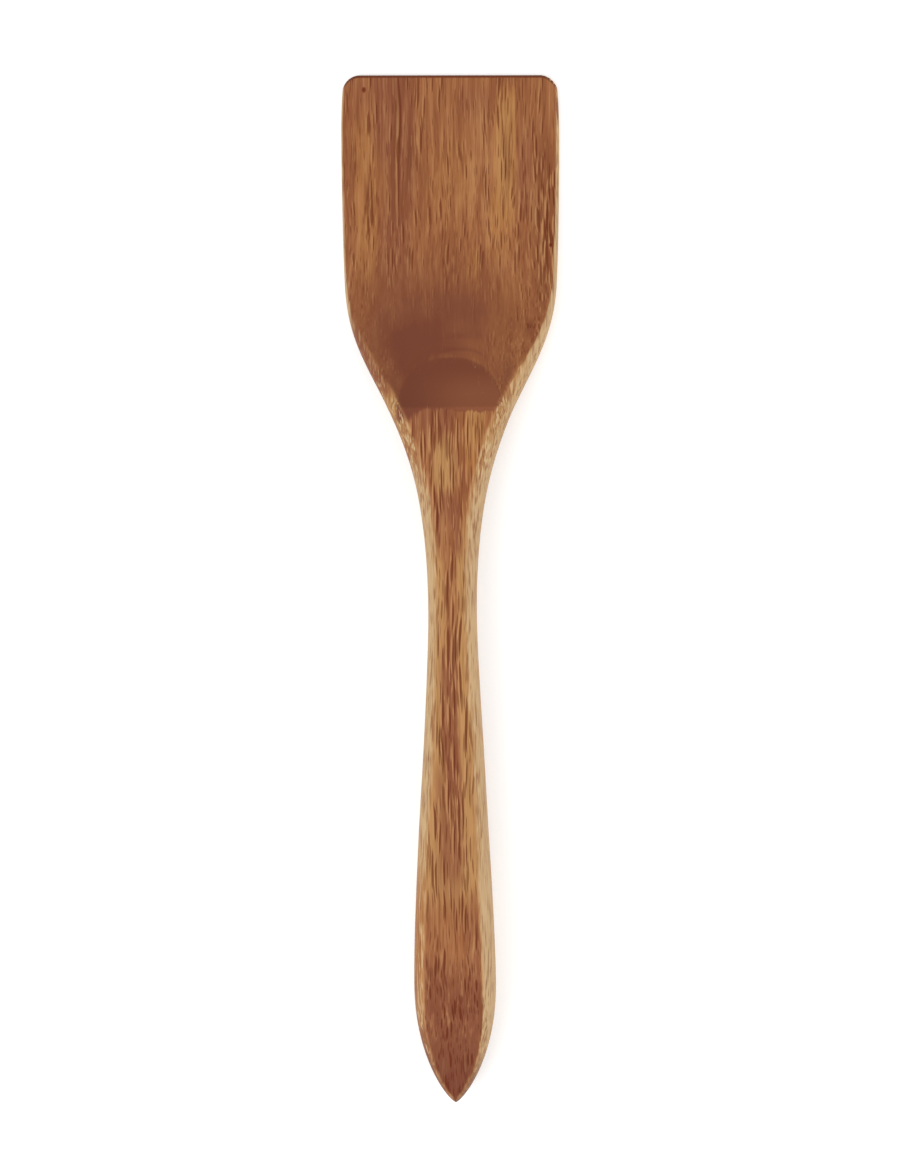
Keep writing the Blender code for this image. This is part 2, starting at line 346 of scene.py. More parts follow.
class BodyTree:
    """Node tree that lofts the body from its sizes, from the front edge to the pointed end."""

    def __init__(self):
        self.tree = bpy.data.node_groups.new("Spatula Body", "GeometryNodeTree")
        sockets = self.tree.interface
        sockets.new_socket("Body", in_out="OUTPUT", socket_type="NodeSocketGeometry")
        keys = list(SpatulaSizes.__annotations__)
        for key in keys:
            name = SpatulaSizes.bl_rna.properties[key].name
            sockets.new_socket(name, in_out="INPUT", socket_type="NodeSocketFloat")
        sockets.new_socket("Wood", in_out="INPUT", socket_type="NodeSocketMaterial")
        source = self.tree.nodes.new("NodeGroupInput")
        for slot, key in enumerate(keys):
            setattr(self, key, Wire(self.tree, source.outputs[slot]))
        self.wood = source.outputs["Wood"]
        self.neck = self.blade_length + self.shoulder_length
        self.grip = self.neck + self.grip_length
        self.length = self.grip + self.tip_length
        self.heel = self.blade_length + self.heel_setback
        self.scoop_start = self.heel - self.scoop_length
        self.cove_foot = self.heel - self.cove_length
        self.finish(self.shape(self.stretches()))

    def node(self, kind, **inputs):
        """A new node, with its inputs linked or set by name."""
        node = self.tree.nodes.new(kind)
        for name, value in inputs.items():
            socket = node.inputs[name.replace("_", " ")]
            if isinstance(value, bpy.types.NodeSocket):
                self.tree.links.new(value, socket)
            else:
                socket.default_value = value
        return node

    def stretches(self):
        """Sheets of rows whose X is a share of the way round, Y a station and Z a half width."""
        place = self.node("GeometryNodeInputPosition").outputs[0]
        across, along, _ = split(self.tree, place)
        round_share = across + 0.5
        share = along + 0.5
        sheets = self.node("GeometryNodeJoinGeometry")

        def stretch(rows, station, half_width):
            grid = self.node(
                "GeometryNodeMeshGrid", Size_X=1.0, Size_Y=1.0,
                Vertices_X=2 * (FACE_PARTS + 2 * SIDE_PARTS) + 1, Vertices_Y=rows + 1,
            )
            moved = self.node(
                "GeometryNodeSetPosition", Geometry=grid.outputs["Mesh"],
                Position=joined(round_share, station, half_width),
            )
            self.tree.links.new(moved.outputs[0], sheets.inputs[0])

        def curved(rows, share, *points):
            stations, half_widths = zip(*points)
            stretch(rows, bezier(share, *stations), bezier(share, *half_widths))

        front = self.front_width * 0.5
        blade = self.blade_width * 0.5
        shoulder = self.shoulder_width * 0.5
        slim = self.neck_width * 0.5
        full = self.grip_width * 0.5
        bow = self.bow_length
        taper = self.shoulder_taper

        # Blade up to its widest point, then up to the shoulders
        curved(
            BOW_ROWS, share ** FRONT_CROWDING, (0.0, front),
            (bow * 0.3, blade - (blade - front) * 0.2), (bow * 0.6, blade), (bow, blade),
        )
        curved(
            TAPER_ROWS, share, (bow, blade), (bow * 1.6, blade),
            (self.blade_length - bow * 0.5, shoulder + taper * bow * 0.5),
            (self.blade_length, shoulder),
        )

        # Shoulders up to the neck, then the handle up to its widest point
        curved(
            SHOULDER_ROWS, share, (self.blade_length, shoulder),
            (self.blade_length + self.shoulder_hold, shoulder - taper * self.shoulder_hold),
            (self.neck - self.neck_hold_front, slim), (self.neck, slim),
        )
        curved(
            GRIP_ROWS, share, (self.neck, slim), (self.neck + self.neck_hold_back, slim),
            (self.grip - self.grip_hold, full), (self.grip, full),
        )

        # Pointed end
        reach = 1.0 - (1.0 - share) ** END_CROWDING
        ogive = (1.0 - reach ** self.tip_fullness) ** (1.0 / self.tip_sharpness)
        stretch(TIP_ROWS, self.grip + reach * self.tip_length, full * ogive)
        return sheets.outputs[0]

    def face(self, share, station):
        """Height of the upper face at a share of the way from its middle to its edge, and how
        high the end wall's own surface stands above the dish there."""
        # Dish: a floor that sweeps up towards the heel, and a rim that climbs at each side of it
        lift = self.floor_height - self.front_thickness
        floor = self.front_thickness + lift * (station / self.heel) ** self.floor_sweep
        climb = ((station - self.scoop_start) / self.scoop_length).most(0.0).least(1.0)
        rim = (self.rim_height - floor) * climb * climb
        dish = floor + rim * share ** self.dish_power

        # Cove: an arc from its foot on that floor up to the heel line, and a ramp ahead of its foot
        foot_share = self.cove_foot / self.heel
        foot = self.front_thickness + lift * foot_share ** self.floor_sweep
        rise = self.heel_height - foot
        chord = (self.cove_length * self.cove_length + rise * rise).root()
        bend = rise.through("ARCTAN2", self.cove_length) - self.cove_foot_angle
        radius = chord / (bend.through("SINE") * 2.0)
        run = station - self.cove_foot
        sweep = run.most(0.0) + radius * self.cove_foot_angle.through("SINE")
        drop = (radius * radius - sweep * sweep).most(0.0).root()
        cove = foot + radius * self.cove_foot_angle.through("COSINE") - drop
        cove = cove + run.least(0.0) * self.cove_foot_angle.through("TANGENT")

        scoop = dish.through("SMOOTH_MAX", cove, self.crease_wear)
        face = scoop.through("SMOOTH_MIN", self.handle_face(station), self.heel_wear)
        return face, cove - dish

    def handle_face(self, station):
        """Height of the handle's face, which lies over the blade as an upper limit."""
        return guide(station, [
            (self.heel, self.heel_height),
            (self.neck, self.neck_height),
            (self.grip - self.tip_length * 0.5, self.grip_height),
            (self.length + self.tip_length / 3.0, self.nose_height),
        ])

    def underside(self, station):
        """Height of the back, which leaves the table under the neck and past the grip."""
        return guide(station, [
            (self.blade_length + self.heel_setback / 3.0, 0.0),
            (self.neck, self.neck_arch),
            (self.grip - self.tip_length * 0.25, 0.0),
            (self.length + self.tip_length / 3.0, self.nose_arch),
        ])

    def roundings(self, station):
        """How wide the upper and the lower rounding of a side are, and how far the upper turns."""
        upper = guide(station, [
            (self.scoop_start, self.edge_round),
            (self.heel, self.heel_round),
            (self.neck, self.neck_round),
            (self.grip, self.grip_round),
            (self.length, self.nose_round),
        ])
        lower = guide(station, [
            (self.blade_length, self.edge_round),
            (self.heel, self.shoulder_belly),
            (self.neck, self.neck_belly),
            (self.grip, self.grip_belly),
        ])
        roll = guide(station, [
            (self.scoop_start, self.soft_roll),
            (self.heel, self.heel_roll),
            (self.neck, self.soft_roll),
            (self.grip, self.grip_roll),
        ])
        return upper, lower, roll

    def uneven(self, x, station):
        """Place across with the unevenness of hand work: fuller shoulders, a drifting handle."""
        swell = station.eased(*SWELL_BEGINS) * station.eased(*SWELL_ENDS, 1.0, 0.0)
        kept = station.eased(*DRIFT_EASES) * (self.drift_kept - 1.0) + 1.0
        drift = station.eased(*DRIFT_BEGINS) * kept * self.handle_drift
        return x * (swell * self.shoulder_swell + 1.0) + drift

    def shape(self, sheets):
        """Wrap the flat sheets round the body."""
        place = self.node("GeometryNodeInputPosition").outputs[0]
        round_share, station, side_line = split(self.tree, place)
        turned = 1.0 - (round_share * 4.0 - 2.0).size()
        is_upper = round_share.below(0.5)
        share = (turned.size() / FACE_SHARE).least(1.0)
        turn = ((turned.size() - FACE_SHARE) / (1.0 - FACE_SHARE)).most(0.0)

        # Width at this station, less inside a rounded front corner
        drop = (self.corner_radius - station).most(0.0)
        corner = self.corner_radius * self.corner_radius - drop * drop
        width = side_line - self.corner_radius + corner.most(0.0).root()

        # Place across, from the middle over the flat to the end of the rounded side
        upper_round, lower_round, upper_roll = self.roundings(station)
        edge = is_upper.pick(lower_round, upper_round).least(width * self.narrow_share)
        roll = is_upper.pick(1.0, upper_roll)
        start_angle = (1.0 - roll).through("ARCSINE")
        arc_angle = start_angle + (math.pi / 2 - start_angle) * turn
        depth = edge * (1.0 - arc_angle.through("SINE")) / roll
        half = share * (width - edge) + (edge - depth)
        x = half * turned.through("SIGN")

        # How much of the full height is left on the rounded side
        beyond = (half - (side_line - self.corner_radius)).most(0.0)
        corner_inset = self.corner_radius - (beyond * beyond + drop * drop).root()
        inset = station.below(self.corner_radius).pick(width - half, corner_inset).most(0.0)
        bow = 1.0 - (inset / edge * roll).least(1.0)
        full_bow = 1.0 - roll
        arc = (1.0 - bow * bow).root() / (1.0 - full_bow * full_bow).root()
        arc = arc * turned.size().below(HALVES_MEET)

        # Height, from a level midway between the underside and the rim
        near_end = 1.0 - ((self.length - station) / self.nose_radius).most(0.0).least(1.0)
        closing = (1.0 - near_end * near_end).most(0.0).root()
        underside = self.underside(station)
        face, end_wall = self.face(share, station)
        rim, _ = self.face(share * 0.0 + 1.0, station)
        middle = (underside + rim) * 0.5
        wear = self.arris_wear * (1.0 - roll) * 2.0
        rounded = ((face - middle) * arc).through("SMOOTH_MIN", face - middle, wear)
        sunk = (underside - middle) * arc.least(1.0)
        z = middle + is_upper.pick(sunk, rounded) * closing

        skew = (x / self.front_width + 0.5) * station.eased(0.0, self.blade_length, 1.0, 0.0)
        y = self.length * 0.5 - station - skew * self.front_skew

        # Pale line along the upper arrises: partly worn edges, partly a painted highlight
        arris = ((inset - edge).size() / (self.arris_wear * 2.0)).eased(0.0, 1.0, 1.0, 0.0)
        marked = self.stored(sheets, "edge_wear_and_highlight", is_upper * (1.0 - roll) * 2.0 * arris)
        marked = self.stored(marked, "end_wall", is_upper.pick(NO_WALL, end_wall / MM))
        moved = self.node(
            "GeometryNodeSetPosition", Geometry=marked,
            Position=joined(self.uneven(x, station), y, z),
        )
        return moved.outputs[0]

    def stored(self, sheets, name, value):
        """The sheets with a number kept on each of their points, for the material."""
        node = self.node("GeometryNodeStoreNamedAttribute", Geometry=sheets, Name=name)
        node.data_type = "FLOAT"
        node.domain = "POINT"
        self.tree.links.new(value.socket, node.inputs["Value"])
        return node.outputs[0]

    def finish(self, shaped):
        """Close the seam, the front edge and the end, and give the surface its wood."""
        welded = self.node(
            "GeometryNodeMergeByDistance", Geometry=shaped, Distance=WELD_DISTANCE,
        )
        turned = self.node("GeometryNodeFlipFaces", Mesh=welded.outputs[0])
        smooth = self.node("GeometryNodeSetShadeSmooth", Geometry=turned.outputs[0])
        real = self.node("GeometryNodeRealizeInstances", Geometry=smooth.outputs[0])
        wooden = self.node(
            "GeometryNodeSetMaterial", Geometry=real.outputs[0], Material=self.wood,
        )
        target = self.tree.nodes.new("NodeGroupOutput")
        self.tree.links.new(wooden.outputs[0], target.inputs[0])


def made_by_nodes(name, tree, inputs):
    """An object whose plain mesh is what a node tree makes from named inputs."""
    made = bpy.data.objects.new(name, bpy.data.meshes.new(name))
    bpy.context.scene.collection.objects.link(made)
    modifier = made.modifiers.new(name, "NODES")
    modifier.node_group = tree
    for item in tree.interface.items_tree:
        if item.in_out == "INPUT":
            modifier[item.identifier] = inputs[item.name]
    depsgraph = bpy.context.evaluated_depsgraph_get()
    mesh = bpy.data.meshes.new_from_object(made.evaluated_get(depsgraph))
    made.modifiers.clear()
    made.data = mesh
    if mesh.materials[0] is None:
        mesh.materials.pop(index=0)
    if not mesh.polygons:
        raise RuntimeError("the node tree " + tree.name + " made no faces")
    return made


# Oiled wood

# Figure of this blank, with a few rows of painted light and shade marked below: colour, strength,
# middle, half width, first and last station, softness across and fade along, in millimetres
FIGURE = (
    ("honey", 0.55, -26.3, 3.8, 14.0, 66.0, 2.2, 12.0),
    ("russet", 0.40, -25.0, 7.0, -20.0, 14.0, 3.0, 10.0),
    ("russet", 1.00, -20.3, 3.8, -20.0, 28.0, 1.8, 9.0),
    ("russet", 0.90, -15.6, 4.2, -20.0, 48.0, 1.8, 14.0),
    ("russet", 0.90, -17.6, 4.4, 36.0, 66.0, 2.2, 12.0),
    ("umber", 0.60, -13.0, 1.2, 18.0, 34.0, 0.8, 8.0),
    # Painted shade a little left of the seam's shine
    ("umber", 0.45, -18.2, 1.0, 4.0, 46.0, 0.8, 8.0),
    ("honey", 0.35, 0.0, 7.0, 22.0, 46.0, 4.0, 12.0),
    ("russet", 0.55, 7.5, 4.5, 4.0, 14.0, 2.0, 5.0),
    ("honey", 1.00, 17.4, 3.6, 6.0, 46.0, 2.0, 8.0),
    ("straw", 0.40, 17.4, 2.8, 8.0, 44.0, 1.6, 8.0),
    ("honey", 0.70, 15.6, 3.2, 38.0, 57.0, 2.4, 9.0),
    ("russet", 0.75, 23.5, 2.2, 20.0, 46.0, 1.6, 9.0),
    ("umber", 0.50, 29.0, 2.6, 20.0, 74.0, 2.0, 12.0),
    ("honey", 0.60, 7.0, 2.6, 56.0, 68.0, 1.6, 5.0),
    # Painted light: the hollow's right slope, lighter where it faces the key lamp
    ("honey", 0.45, 19.0, 5.0, 66.0, 92.0, 3.0, 10.0),
    ("straw", 1.00, 0.0, 16.0, 144.0, 262.0, 3.0, 14.0),
    ("russet", 0.95, -5.0, 7.0, 98.0, 113.0, 3.0, 4.0),
    ("honey", 1.00, 8.8, 3.2, 98.0, 122.0, 1.4, 8.0),
    ("straw", 0.40, 8.8, 2.8, 98.0, 118.0, 1.2, 6.0),
    ("straw", 0.95, -0.7, 3.8, 115.0, 130.0, 2.4, 7.0),
    ("russet", 1.00, 0.2, 4.3, 132.0, 150.0, 1.2, 5.0),
    ("heartwood", 0.90, -0.5, 2.2, 142.0, 182.0, 1.0, 9.0),
    ("russet", 1.00, 0.1, 3.0, 178.0, 226.0, 1.4, 10.0),
    ("russet", 0.85, -0.8, 4.2, 216.0, 254.0, 2.4, 9.0),
    ("heartwood", 0.75, -1.5, 16.0, 256.0, 290.0, 3.0, 9.0),
    ("russet", 0.70, 7.5, 2.6, 258.0, 284.0, 2.0, 10.0),
    ("russet", 1.00, 0.0, 16.0, 279.0, 340.0, 3.0, 12.0),
    ("cut_grain_and_shade", 0.30, 0.0, 16.0, 280.0, 340.0, 3.0, 10.0),
    ("cut_grain_and_shade", 0.90, 0.0, 16.0, 304.0, 340.0, 3.0, 12.0),
    # Painted shadow: the dark corner at the heel line's left end
    ("cut_grain_and_shade", 1.00, -13.0, 1.8, 98.0, 107.0, 0.8, 2.0),
)

# How far right of the body's middle the figure's middle lies, in millimetres
FIGURE_SHIFT = 0.47

# Crack-like seam in the blade's left half: how far across it lies, how much further left it is at
# the front edge, and how far left of it a painted shine runs, in millimetres
SEAM_X = -16.15
SEAM_LEAN = 0.6
SEAM_SHINE = 0.8

# Pin knots: middle, station and radius, in millimetres
KNOTS = ((-27.3, 4.7, 0.6), (31.0, 54.0, 0.5))

# Growth layers: where they crest, how they curve down to each side, how thick they are, and how
# far they keep their tone across and along, in millimetres
LAYER_CREST = 4.5
LAYER_CURVE = 0.008
LAYER_DEPTH = 1.1
LAYER_ACROSS = 22.0
LAYER_ALONG = 160.0

# Hollow, in millimetres: station from which layers and streaks are fainter, line along which its
# cut fibres and painted shade are darkest, place at which painted shade runs on over the side at
# the heel line, and its left rim, which turns in at a station with a slope
HOLLOW_CALMS = 66.0
HOLLOW_X = -8.0
SHADED_CORNER_X = -14.0
RIM_X = -33.0
RIM_TURNS = 68.0
RIM_SLOPE = 0.42

# Noises that follow the fibres: millimetres across and along, detail, roughness and seed
SWAY = (8.0, 40.0, 1.0, 0.5, 13.0)
RIPPLE = (5.0, 13.0, 1.0, 0.5, 17.0)
STREAKS = (2.0, 50.0, 3.0, 0.6, 11.0)
THREADS = (0.55, 22.0, 2.0, 0.6, 23.0)
FIGURE_WANDER = (11.0, 45.0, 2.0, 0.5, 3.0)
LAYER_WARP = (10.0, 40.0, 1.0, 0.5, 7.0)
HOLLOW_PATCHES = (8.0, 14.0, 2.0, 0.5, 64.0)
PORE_GROUPS = (3.0, 26.0, 2.0, 0.6, 5.0)
STIPPLE = (0.6, 8.0, 1.0, 0.6, 71.0)

# Slim marks along the fibres: millimetres across and along, and seed
BOLD_PORES = (1.05, 19.0, 31.0)
EDGE_PORES = (0.8, 36.0, 37.0)
FINE_PORES = (0.7, 10.0, 47.0)
FINE_FLECKS = (0.7, 10.0, 53.0)

# Changes along the tool: stations at which each starts and is complete, in millimetres
SEAM_STRAIGHTENS = (2.0, 12.0)
RIGHT_SIDE_PALES = (4.0, 26.0)
SEAM_SHINES = (4.0, 18.0)
FRONT_ENDS = (5.0, 8.0)
SIDES_SPREAD = (20.0, 70.0)
HOLLOW_DARKENS = (48.0, 84.0)
SHOULDERS_END = (85.0, 100.0)
LEFT_SIDE_PALES = (96.0, 104.0)
SAPWOOD_AND_SIDE_LIGHT_SPREAD = (110.0, 140.0)
LEFT_SIDE_WARMS = (225.0, 262.0)
FLECKS_FADE = (256.0, 296.0)
STREAKS_FADE = (290.0, 310.0)
SIDES_FADE = (294.0, 316.0)
LEFT_SIDE_FADES = (274.0, 306.0)
STIPPLE_FADES = (296.0, 316.0)

# Changes across the tool: places at which each starts and is complete, in millimetres
MIDDLE = (-0.5, 0.5)
HEEL_LINE_TURNS = (-15.0, -7.0)
HEEL_LINE_WEARS = (-8.0, 8.0)
WALL_SHARPENS = (-10.0, 2.0)
WALL_REDDENS = (-14.0, 8.0)
FOOT_HIGHLIGHT_BRIGHTENS = (-14.0, 0.0)
FOOT_LAYERS_SHOW = (-6.0, 8.0)
RIGHT_EDGE = (23.5, 29.0)

# Stretches that look unlike the rest: first and last station and fade at each, in millimetres
SEAM_STRETCH = (-9.0, 44.0, 6.0)
DARK_RIGHT_EDGE = (30.0, 72.0, 8.0)
DARK_LEFT_SHOULDER = (70.0, 97.0, 8.0)
LEFT_WITHOUT_SAPWOOD_OR_SIDE_LIGHT = (78.0, 124.0, 6.0)
DARK_LEFT_NECK = (114.0, 142.0, 7.0)
SLIM_RIGHT_SIDE = (202.0, 250.0, 12.0)

# Surface: roughness of plain wood and what pores, cut fibres and threads add to it, strength of
# the mirror-like shine, and relief of pores and threads in millimetres
ROUGHNESS = 0.46
PORE_ROUGHNESS = 0.2
CUT_ROUGHNESS = 0.08
THREAD_ROUGHNESS = 0.25
SHINE = 0.2
PORE_DEPTH = 0.06
THREAD_HEIGHT = 0.05


class WoodShader:
    """Material of the oiled wood: fibres that run along Y through the whole body."""

    def __init__(self, colours, sizes):
        self.material = bpy.data.materials.new("Oiled Wood")
        self.material.use_nodes = True
        self.tree = self.material.node_tree
        self.shader = self.tree.nodes["Principled BSDF"]
        self.colours = colours
        coordinates = self.tree.nodes.new("ShaderNodeTexCoord")
        place = split(self.tree, coordinates.outputs["Object"])
        self.x, self.y, self.z = [part / MM for part in place]
        self.x = self.x - FIGURE_SHIFT
        self.right = self.x.eased(*MIDDLE)
        self.left = 1.0 - self.right
        self.facing = split(self.tree, coordinates.outputs["Normal"])
        self.outward = self.facing[0] * self.x.through("SIGN")
        whole = sizes.blade_length + sizes.shoulder_length + sizes.grip_length + sizes.tip_length
        self.station = whole / 2 / MM - self.y
        self.heel = (sizes.blade_length + sizes.heel_setback) / MM
        self.on_handle = self.station.eased(self.heel, self.heel + 6.0)

        # The fibres' own sway is read as if they ran straight
        self.fibre = self.x
        sway = self.noise(*SWAY) * 2.0
        ripple = self.noise(*RIPPLE)
        self.fibre = self.x + sway + ripple
        self.streak = self.noise(*STREAKS)
        self.thread = self.noise(*THREADS)
        self.ragged = self.streak * 2.4 + self.thread
        self.build()

    def stretched(self, across, along, seed, aside=0.0):
        """Coordinates that grow by 1 in so many millimetres across and along the fibres."""
        return joined(
            (self.fibre + aside) / across + seed, self.y / along + seed, self.z / across,
        )

    def noise(self, across, along, detail, roughness, seed):
        """Noise from -0.5 to 0.5 that follows the fibres."""
        return self.noise_at(self.stretched(across, along, seed), detail, roughness) - 0.5

    def noise_at(self, place, detail, roughness):
        """Noise from 0 to 1 at any coordinates."""
        node = self.tree.nodes.new("ShaderNodeTexNoise")
        node.inputs["Scale"].default_value = 1.0
        node.inputs["Detail"].default_value = detail
        node.inputs["Roughness"].default_value = roughness
        self.tree.links.new(place, node.inputs["Vector"])
        return Wire(self.tree, node.outputs[0])

    def dashes(self, marks, reach, aside=0.0):
        """Slim spots along the fibres: 1 in the middle of each and 0 past its reach."""
        across, along, seed = marks
        node = self.tree.nodes.new("ShaderNodeTexVoronoi")
        node.inputs["Scale"].default_value = 1.0
        self.tree.links.new(self.stretched(across, along, seed, aside), node.inputs["Vector"])
        return Wire(self.tree, node.outputs["Distance"]).eased(reach * 0.6, reach, 1.0, 0.0)

    def attribute(self, name):
        """A number that the body's points carry."""
        node = self.tree.nodes.new("ShaderNodeAttribute")
        node.attribute_name = name
        return Wire(self.tree, node.outputs["Fac"])

    def mixed(self, share, first, second):
        """A colour between two, each given by name or as a socket."""
        node = self.tree.nodes.new("ShaderNodeMix")
        node.data_type = "RGBA"
        node.clamp_factor = True
        share.feed(node.inputs[0], share)

        # The node's colours are its inputs 6 and 7 and its output 2
        for socket, value in ((node.inputs[6], first), (node.inputs[7], second)):
            if isinstance(value, str):
                socket.default_value = (*getattr(self.colours, value), 1.0)
            else:
                self.tree.links.new(value, socket)
        return node.outputs[2]

    def stretch(self, start, end, fade):
        """1 between two stations and 0 beyond them."""
        begun = self.station.eased(start - fade, start + fade)
        return begun * self.station.eased(end - fade, end + fade, 1.0, 0.0)

    def figure(self):
        """Broad bands and patches, each ragged along the fibres."""
        place = self.fibre + self.noise(*FIGURE_WANDER) * 6.0
        wood = "heartwood"
        for colour, strength, x, half_width, start, end, soft, fade in FIGURE:
            near = max(half_width - soft, 0.0)
            spot = (place - x).size().eased(near, half_width + soft, 1.0, 0.0)
            spot = spot * self.stretch(start, end, fade)
            share = (spot * 1.3 - 0.15 + self.ragged).most(0.0).least(1.0)
            wood = self.mixed(share * spot.eased(0.0, 0.35) * strength, wood, colour)
        return wood

    def growth(self, wood):
        """Growth layers, streaks and fine threads, lighter and darker than the figure."""
        off = self.x - LAYER_CREST
        warp = self.noise(*LAYER_WARP) * 2.2
        depth = (self.z - off * off * LAYER_CURVE + warp) / LAYER_DEPTH
        place = joined(depth, self.x / LAYER_ACROSS, self.y / LAYER_ALONG)
        layer = self.noise_at(place, 2.0, 0.5) - 0.5
        tone = layer * 1.3 + self.streak * 2.4 + self.thread * 2.0
        tone = tone * self.station.eased(*STREAKS_FADE, 1.0, 0.35)
        tone = tone * (1.0 - self.stretch(HOLLOW_CALMS, self.heel, 8.0) * 0.4)
        wood = self.mixed(tone * 0.6, wood, "fleck")
        return self.mixed(tone * -1.0, wood, "umber")

    def side_share(self):
        """1 where the surface turns out to a side and 0 on the face and the back, which is where
        the paler sides and their painted side light go.
        """
        begins = self.station.eased(*SIDES_SPREAD, 0.42, 0.06)
        begins = begins - self.right * self.station.eased(*SIDES_SPREAD, 0.3, 0.0)
        begins = begins + self.right * self.stretch(*SLIM_RIGHT_SIDE) * 0.26
        return (self.outward + self.ragged * 0.25).eased(begins, begins + 0.4)

    def sides(self, wood, side):
        """Paler colour along the sides, palest where they are steep, less so at the grip's left:
        partly paler wood, partly painted light where the steep sides would catch the bright
        surroundings.
        """
        left = self.left
        right = self.right
        starts, ends = (left.pick(*places) for places in zip(SIDES_FADE, LEFT_SIDE_FADES))
        before_tip = self.station.eased(starts, ends, 1.0, 0.1)
        wood = self.mixed(side * left * self.stretch(*DARK_LEFT_SHOULDER) * 0.9, wood, "russet")

        # Right side paler than the left from near the front: partly the wood, partly painted light
        # from the right
        right_pales = right * self.station.eased(*RIGHT_SIDE_PALES)
        pale = left * self.station.eased(*LEFT_SIDE_PALES) + right_pales
        pale = pale - left * self.stretch(*DARK_LEFT_NECK) * 0.6
        wood = self.mixed(side * (0.9 + self.ragged) * pale * before_tip, wood, "straw")

        left_warms = self.station.eased(*LEFT_SIDE_WARMS)
        wood = self.mixed(side * left * left_warms * before_tip * 0.8, wood, "honey")

        lower = self.station.eased(*SAPWOOD_AND_SIDE_LIGHT_SPREAD, 0.55, 0.2)
        lower = lower - self.station.eased(*SHOULDERS_END, 1.0, 0.0) * (left * 0.15 + right * 0.4)
        lower = lower + right * self.stretch(*SLIM_RIGHT_SIDE) * 0.25
        # Steepest part of each side: palest, partly sapwood, partly painted side light
        steep = (self.outward + self.ragged * 0.2).eased(lower, lower + 0.5)
        outer = left * (1.0 - self.stretch(*LEFT_WITHOUT_SAPWOOD_OR_SIDE_LIGHT) - left_warms) + right_pales
        return self.mixed(steep * outer * before_tip * 0.9, wood, "sapwood_and_side_light")

    def before_heel(self):
        """1 ahead of the heel line and 0 behind it, where the line bends back at both ends; at the
        left end the bend carries the end wall's painted shade onto the handle.
        """
        # Painted shadow: at the left end the line bends back, carrying the end wall's dark colour
        # onto the handle
        late = self.x.eased(*HEEL_LINE_TURNS, 1.0, 0.0)
        worn = self.x.eased(*HEEL_LINE_WEARS, 0.0, 0.9)
        starts = late * 2.2 + worn + (self.heel - 0.4)
        ends = late * 6.0 + worn + (self.heel + 0.8)
        return (self.station + self.thread * 3.0).eased(starts, ends, 1.0, 0.0)

    def hollow(self):
        """How dark the hollow is, partly cut fibres and partly painted shade: patchy, darkest along
        a line left of the middle, and lighter towards its rims and the front.
        """
        dark = self.station.eased(*HOLLOW_DARKENS)
        dark = dark * (self.x - HOLLOW_X).size().eased(8.0, 36.0, 1.0, 0.3)
        from_rim = self.x - RIM_X - (self.station - RIM_TURNS).most(0.0) * RIM_SLOPE
        dark = dark * from_rim.eased(2.0, 9.0, 0.65, 1.0)
        return dark * (self.noise(*HOLLOW_PATCHES) * 0.8 + 0.98)

    def wall_foot(self, wood, end_wall, dish):
        """Curved growth layers ahead of the end wall's foot, and a painted highlight: a thin bright
        line along it.
        """
        ahead = (end_wall * -1.0).most(0.0).root()
        place = joined(ahead * 3.5, self.x / 26.0, self.y / 90.0)
        layer = self.noise_at(place, 1.0, 0.5).eased(0.46, 0.64)
        right = self.x.eased(*FOOT_LAYERS_SHOW, 0.1, 1.0)
        near = ahead.eased(0.2, 0.45) * ahead.eased(0.9, 1.9, 1.0, 0.0)
        wood = self.mixed(near * right * (layer * 0.75 + 0.25) * dish * 0.5, wood, "heartwood")
        # Painted highlight along the wall's foot
        line = (ahead - 0.5).size().eased(0.0, 0.2, 1.0, 0.0)
        line = line * (self.streak * 6.0 + 0.4) * self.x.eased(*FOOT_HIGHLIGHT_BRIGHTENS, 0.35, 1.0)
        return self.mixed(line * dish * 0.15, wood, "honey")

    def scoop(self, wood, side):
        """Darker colour where the hollow and its end wall cut across the fibres, with painted shade
        over both.
        """
        # Painted shadow: at the heel line's left corner the dark colour runs on over the side
        corner = (self.x - SHADED_CORNER_X).size().eased(1.5, 3.0, 1.0, 0.0)
        corner = corner * self.stretch(self.heel - 6.0, self.heel + 5.0, 2.0)
        above = self.facing[2].eased(0.0, 0.2) * (1.0 - side * (1.0 - corner))
        inside = self.before_heel() * above
        end_wall = self.attribute("end_wall") - 0.3
        soft = self.x.eased(*WALL_SHARPENS, 0.5, 0.15)
        wall = end_wall.eased(soft * -1.0, soft) * inside
        # Hollow: darker cut fibres with painted shade
        dish = self.hollow() * inside
        wood = self.mixed(dish, wood, "cut_grain_and_shade")
        wood = self.wall_foot(wood, end_wall, dish)
        wood = self.mixed(wall, wood, "cut_grain_and_shade")
        # Painted shade on the end wall: darker at its left and towards its foot, lighter and redder
        # towards its right and the heel line
        low = self.station.eased(self.heel - 14.0, self.heel - 3.0, 0.1, 1.0)
        wood = self.mixed(wall * self.x.eased(*WALL_REDDENS, 0.1, 1.0) * low, wood, "russet")
        return wood, dish.most(wall)

    def seam(self):
        """The crack-like seam and the painted shine beside it, both broken here and there."""
        off = self.fibre - SEAM_X + self.station.eased(*SEAM_STRAIGHTENS, SEAM_LEAN, 0.0)
        broken = self.stretch(*SEAM_STRETCH) * (self.streak * 3.0 + 1.1).most(0.0).least(1.0)
        crack = off.size().eased(0.1, 0.5, 1.0, 0.0) * broken
        # Painted highlight: the seam's lit lip
        shine = (off + SEAM_SHINE).size().eased(0.2, 0.55, 1.0, 0.0) * broken * 1.6
        return crack, shine * self.station.eased(*SEAM_SHINES, 0.15, 1.0)

